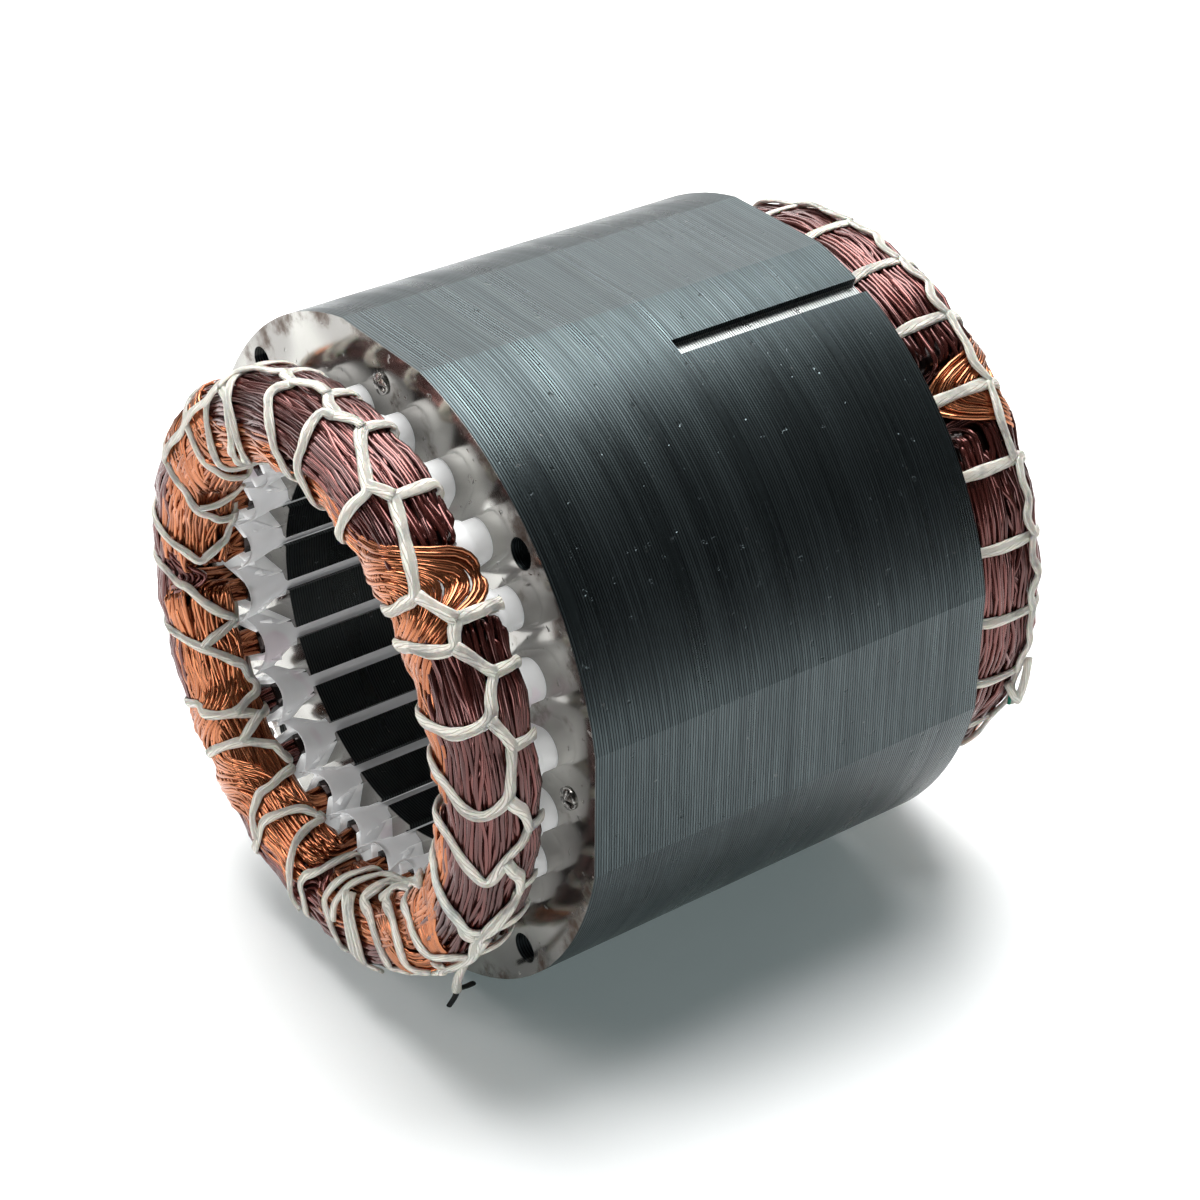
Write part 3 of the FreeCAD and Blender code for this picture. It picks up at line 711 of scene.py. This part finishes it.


# Each stitch is a loop round the ring, as pairs of angle and roll, and each link is the length
# of cord from one stitch to the next. They are laid one by one.
nearStitches = [
    [(103.2, -1), (100, 3), (96.5, 8), (97.8, 21), (97.6, 37), (95.6, 52), (93.4, 74), (92.5, 90),
     (90.5, 120)],
    [(89.8, -3), (86.2, 3), (82.3, 8), (84.8, 14), (84.0, 34), (83.1, 50), (82.4, 67), (82.6, 90), (79, 120)],
    [(77.8, -1), (73, 12), (68, 26), (65.4, 36), (65.3, 60), (65.7, 87), (66.5, 120)],
    [(62.4, 13), (55, 26), (48, 40), (45.0, 52), (45.0, 70), (45.1, 91), (47, 125)],
    [(38.9, 13), (37, 20), (34.7, 27), (35.2, 54), (37.6, 90), (39, 125)],
    [(28.5, -2), (25, 5), (21.3, 13), (20.2, 55), (21.4, 88), (23, 125)],
    [(15.1, -2), (10, 2), (6.2, 8), (4.2, 35), (5.6, 61), (10, 88), (13, 125)],
    [(358.5, -12), (356, -2), (353.9, 9), (349.3, 28), (352.2, 52), (356.2, 79), (357.9, 100), (358, 130)],
    [(344.1, -8), (337, 0), (330.4, 9), (332, 30), (336.8, 50), (340.3, 83), (343.1, 101), (346, 130)],
    [(112.5, 8), (112.6, 28), (110.1, 59), (108.5, 86), (108.9, 108), (110.8, 130), (118, 158), (112, 186)],
    [(114.5, 45), (110.4, 66), (110.6, 93), (113.4, 112), (118.9, 136), (123, 158), (120, 190)],
    [(120, 40), (120.8, 59), (121.6, 83), (124.2, 114), (127.4, 137), (128, 154), (124, 172), (116, 190)],
    [(131, 40), (131, 75), (130.6, 88), (132.0, 114), (133.1, 133), (136.0, 153), (138.1, 173), (139.5, 192)],
    [(148, 40), (149.2, 77), (149.6, 112), (152.6, 132), (155.0, 148), (156.5, 162), (159.7, 186)],
    [(166, 40), (168.1, 86), (169.5, 126), (171.2, 141), (173.0, 154), (171.2, 166), (167.1, 192)],
    [(178, 40), (178.8, 91), (180.9, 115), (181.8, 134), (185.2, 151), (188.9, 167), (193, 184), (195, 198)],
    [(194, 40), (195.3, 90), (196.2, 108), (198.6, 138), (201.8, 162), (205.7, 179), (211, 199)],
    [(212, 50), (212.9, 100), (215.3, 108), (217.0, 130), (218.2, 158), (219.6, 173), (221, 190)],
    [(224, 60), (224.8, 113), (225.9, 149), (227.6, 166), (230.2, 181), (235.5, 200)],
    [(247, 55), (248.5, 95), (247.5, 120), (248.5, 143), (250.4, 173), (254.0, 190)],
    [(267, 50), (268, 83), (266.7, 101), (267.5, 120), (269.1, 130), (271, 150), (272, 190)],
    [(281, 55), (280.9, 79), (279.3, 96), (277.7, 111), (278.4, 130), (280, 160), (282, 190)],
    [(302, 30), (298.5, 49), (300.1, 79), (298.2, 119), (292.8, 145), (294, 175), (296, 192)],
    [(311, 30), (309.2, 62), (311.7, 99), (310.5, 122), (304.8, 146), (303, 175), (303, 192)],
    [(323.9, 11), (323.9, 36), (320.4, 60), (320.4, 89), (321.5, 105), (317.0, 144), (314, 175), (312, 190)],
    [(334.2, 18), (335.4, 39), (338.6, 62), (339.8, 83), (343.9, 109), (343, 140), (342, 175)],
]
nearLinks = [
    [(114.6, 45), (113.5, 20), (111.2, 9), (106.6, 3), (103.2, -1)],
    [(96.5, 8), (93, -1), (89.8, -3)],
    [(82.3, 8), (80, 1), (77.8, -1)],
    [(66.2, 30), (64, 20), (62.4, 13)],
    [(45.0, 44), (41.5, 26), (38.9, 13)],
    [(34.7, 25), (31.5, 9), (28.5, -2)],
    [(21.3, 11), (18, 2), (15.1, -2)],
    [(6.2, 5), (2, -6), (-1.5, -12)],
    [(353.9, 9), (349, -2), (344.1, -8)],
    [(330.4, 7), (324, 12), (318, 24), (312.4, 20)],
    [(148.5, 78), (138.1, 80), (132.1, 77), (127.6, 73), (119.8, 60), (114.6, 45)],
    [(153, 146), (151.7, 170), (149.2, 185), (146.5, 206)],
    [(171.5, 160), (167, 182), (162.3, 196), (158, 204)],
    [(193.6, 187), (192.8, 194), (195.4, 174), (197.2, 154), (198.7, 141)],
    [(210.5, 196), (212.8, 200), (214.4, 190), (215.5, 178), (217.4, 165), (217.9, 158)],
    [(220.6, 182), (222.9, 171), (225.1, 157), (225.9, 149)],
    [(237.5, 209), (238.3, 193), (238.7, 179), (240.3, 159), (240.6, 139), (242.4, 124), (243.9, 111),
     (248.2, 93)],
    [(254, 184), (255.8, 191), (256.7, 171), (258.7, 147), (261.5, 121), (263.4, 97), (264.2, 83),
     (266.7, 70)],
    [(281.9, 95), (282.2, 114), (282.9, 130), (284.2, 160), (287.3, 180), (296, 184), (305, 178), (314, 160)],
    [(283.9, 140), (288.1, 110), (288.8, 86), (286.5, 49), (289.6, 40)],
    [(285.8, 140), (289.8, 110), (290.6, 86), (288.6, 52), (292.0, 42)],
    [(287.7, 140), (291.5, 110), (292.4, 86), (290.7, 55), (294.2, 44)],
    [(335.0, 117), (325, 148), (308.6, 166), (302.9, 161), (300.2, 148)],
    [(334.8, 129), (318, 165), (298.7, 177), (296.5, 158), (294.8, 143)],
    [(319.5, 46), (316.5, 31), (312.4, 9), (310, -10)],
    [(323.9, 11), (334.2, 16), (344.1, -8)],
]
farStitches = [[(angle, 24), (angle - 0.6, 60), (angle - 0.8, 92), (angle - 0.5, 130), (angle, 178)]
               for angle in range(0, 360, 15)]
farLinks = [[(angle + 0.2, 22 + 5 * np.sin(angle)), (angle + 4, 12),
             (angle + 7.5, 17 + 6 * np.cos(2 * angle)), (angle + 11, 15), (angle + 15, 23)]
            for angle in range(0, 360, 15)]
# Loose ends by the knots, as angle, distance from the axis and height, then width and tone.
nearEnds = [
    ([(316, 62.5, 14), (310, 64.5, 13), (306, 66.5, 12), (303.5, 68, 11)], 2.0, 0.5),
    ([(304.5, 67.3, 11.5), (302.5, 69, 11), (300.5, 71.0, 12)], 1.3, 1.5),
    ([(304.5, 67.3, 11.5), (302.5, 68.2, 8.5), (300.6, 68.8, 5.5)], 1.5, 1.5),
]
farEnds = [
    ([(347, 62.8, 22), (343, 64.5, 21), (340, 65.5, 20), (337.5, 64.5, 20)], 2.6, 0.5),
    ([(343, 63.5, 17), (341, 65.2, 18), (339, 66.0, 20)], 2.2, 0.5),
    ([(340.5, 65.0, 17.5), (339.2, 66.0, 17.0)], 1.1, 2.5),
]
lacings = [
    {"name": "nearLacingCord", "node": "near_lacing", "ring": nearRing,
     "stitches": nearStitches, "links": nearLinks, "ends": nearEnds},
    {"name": "farLacingCord", "node": "far_lacing", "ring": farRing,
     "stitches": farStitches, "links": farLinks, "ends": farEnds},
]
# Widths, thickness as a share of the width and height over the wires.
cordSize = {"wide": 2.5, "narrow": 2.05, "flat": 0.46, "stand": 0.35}


def smoothRoute(points, step):
    # Catmull-Rom curve through the points, sampled evenly; angle and roll are treated alike.
    points = np.asarray(points, float)
    ends = [2 * points[0] - points[1], 2 * points[-1] - points[-2]]
    knots = np.vstack([ends[0], points, ends[1]])
    curve = []
    for index in range(len(points) - 1):
        a, b, c, d = knots[index:index + 4]
        length = np.hypot((c - b)[0], (c - b)[1] * 0.17)
        share = np.linspace(0, 1, max(int(length / step), 3), endpoint=False)[:, None]
        curve.append(0.5 * (2 * b + (c - a) * share + (2 * a - 5 * b + 4 * c - d) * share ** 2
                            + (3 * b - a - 3 * c + d) * share ** 3))
    return np.vstack(curve + [points[-1:]])


def lay(ring, route, lift, rng):
    # One length of cord along the ring, as a flat tube.
    curve = smoothRoute(route, 0.8)
    angle, roll = curve[:, 0], curve[:, 1]
    path = onRing(ring, angle, roll, -lift)
    inner = onRing(ring, angle, roll, 2.0 - lift)
    size = cordSize["wide"] if (angle[0] + 60) % 360 < 165 else cordSize["narrow"]
    width = size / 2 * (1 + 0.10 * np.sin(np.arange(len(path)) * 0.6 + rng.uniform(0, 6)))
    return tubes(path[None], width[None], 8, (path - inner)[None], [rng.uniform(0, 1)], cordSize["flat"])


cordLook = cordMaterial()
for lacing in lacings:
    rng = np.random.default_rng(lacing["ring"]["seed"] + 300)
    parts = []
    for stitch in lacing["stitches"]:
        first, last = stitch[0], stitch[-1]
        # The hidden part goes on under the ring and up its outside to the first point.
        under = [((2 * last[0] + first[0]) / 3, 250), ((last[0] + 2 * first[0]) / 3, 292),
                 (first[0], 318), (first[0], 360 + min(first[1], 20) - 22), (first[0], 360 + first[1])]
        if first[1] >= 35:
            under[3:4] = [(first[0], 350)]
        route = list(stitch) + under
        parts.append(lay(lacing["ring"], route, cordSize["stand"], rng))
    for link in lacing["links"]:
        parts.append(lay(lacing["ring"], link, cordSize["stand"] + rng.uniform(0.25, 0.6), rng))
    for points, width, tone in lacing["ends"]:
        angle, reach, height = smoothRoute(points, 0.6).T
        path = ringPoint(lacing["ring"], angle, reach, height)
        outward = path - ringPoint(lacing["ring"], angle, reach - 5, height - 2)
        parts.append(tubes(path[None], np.full((1, len(path)), width / 2), 8, outward[None], [tone], 0.7))
    addMesh(lacing["name"], parts, cordLook, [lacing["node"]], along=True)
print("lacing")


# The stage, in metres and watts. Lamps point at the origin.
floorLook = {"half": 4, "gap": 0.0001, "grain": ((0.90, 0.90, 0.90), (0.94, 0.94, 0.94)),
             "glowColour": (0.75, 1.0, 1.0), "glow": 0.10}
skyLook = {"towards": (-0.72, 0.50, 0.48), "edge": (0.25, 0.95), "low": 0.03, "high": 0.36}
lamps = [
    {"name": "topLight", "place": (-0.25, 0.15, 1.0), "size": (0.9, 0.9), "power": 25},
    {"name": "backLight", "place": (-0.9, 0.55, 0.55), "size": (0.8, 0.6), "power": 4},
    {"name": "frontLight", "place": (-0.55, -0.95, 0.65), "size": (0.5, 0.5), "power": 5},
    {"name": "fillLight", "place": (0.75, -0.75, 0.10), "size": (0.5, 0.25), "power": 2.4},
]
cameraLook = {"lens": 84.95, "sensor": 36.0, "place": (0.40355, -0.29412, 0.31256),
              "right": (0.59065, 0.80690, 0.0063), "forward": (-0.67857, 0.50091, -0.53724)}


def floorMaterial():
    # Plain pale floor. A weak glow lifts its shadows.
    material, tree, shader, place = newMaterial("paleFloor")
    colour = blend(tree, noise(tree, place, 0.02, 2.0), *floorLook["grain"])
    connect(tree, shader, Base_Color=colour, Roughness=0.6, Specular_IOR_Level=0.2)
    rays = newNode(tree, "ShaderNodeLightPath").outputs
    seen = calc(tree, "MAXIMUM", rays["Is Camera Ray"], rays["Is Glossy Ray"])
    glow = calc(tree, "MULTIPLY", seen, floorLook["glow"])
    connect(tree, shader, Emission_Color=floorLook["glowColour"], Emission_Strength=glow)
    return material


floorHeight = stackBox[0][2] - floorLook["gap"]
floorCorners = [(x * floorLook["half"], y * floorLook["half"], floorHeight)
                for x, y in ((-1, -1), (1, -1), (1, 1), (-1, 1))]
floorMesh = bpy.data.meshes.new("paleFloor")
floorMesh.from_pydata(floorCorners, [], [(0, 1, 2, 3)])
floorMesh.materials.append(floorMaterial())
floor = bpy.data.objects.new("paleFloor", floorMesh)
bpy.context.scene.collection.objects.link(floor)

# The world is white to the camera. To the object it is dark, with one soft bright side.
world = bpy.data.worlds.new("studio")
world.use_nodes = True
bpy.context.scene.world = world
sky = world.node_tree
backdrop = sky.nodes["Background"]
rays = newNode(sky, "ShaderNodeLightPath").outputs
direction = newNode(sky, "ShaderNodeTexCoord").outputs["Generated"]
facing = newNode(sky, "ShaderNodeVectorMath", {0: direction, 1: skyLook["towards"]}, operation="DOT_PRODUCT")
bright = between(sky, facing.outputs["Value"], *skyLook["edge"])
shade = calc(sky, "ADD", skyLook["low"], calc(sky, "MULTIPLY", bright, skyLook["high"]))
level = calc(sky, "MAXIMUM", shade, rays["Is Camera Ray"])
connect(sky, backdrop, Color=(1.0, 1.0, 1.0), Strength=level)

for row in lamps:
    lamp = bpy.data.lights.new(row["name"], "AREA")
    lamp.shape = "RECTANGLE"
    lamp.size, lamp.size_y = row["size"]
    lamp.energy = row["power"]
    light = bpy.data.objects.new(row["name"], lamp)
    light.location = row["place"]
    light.rotation_euler = (-Vector(row["place"])).to_track_quat("-Z", "Y").to_euler()
    bpy.context.scene.collection.objects.link(light)

lens = bpy.data.cameras.new("camera")
lens.lens = cameraLook["lens"]
lens.sensor_width = cameraLook["sensor"]
camera = bpy.data.objects.new("camera", lens)
right = Vector(cameraLook["right"]).normalized()
forward = Vector(cameraLook["forward"]).normalized()
up = right.cross(forward).normalized()
facingTurn = Matrix((right, up, -forward)).transposed().to_4x4()
camera.matrix_world = Matrix.Translation(cameraLook["place"]) @ facingTurn
bpy.context.scene.collection.objects.link(camera)
bpy.context.scene.camera = camera
bpy.context.scene.view_settings.view_transform = "Standard"
print("stage")
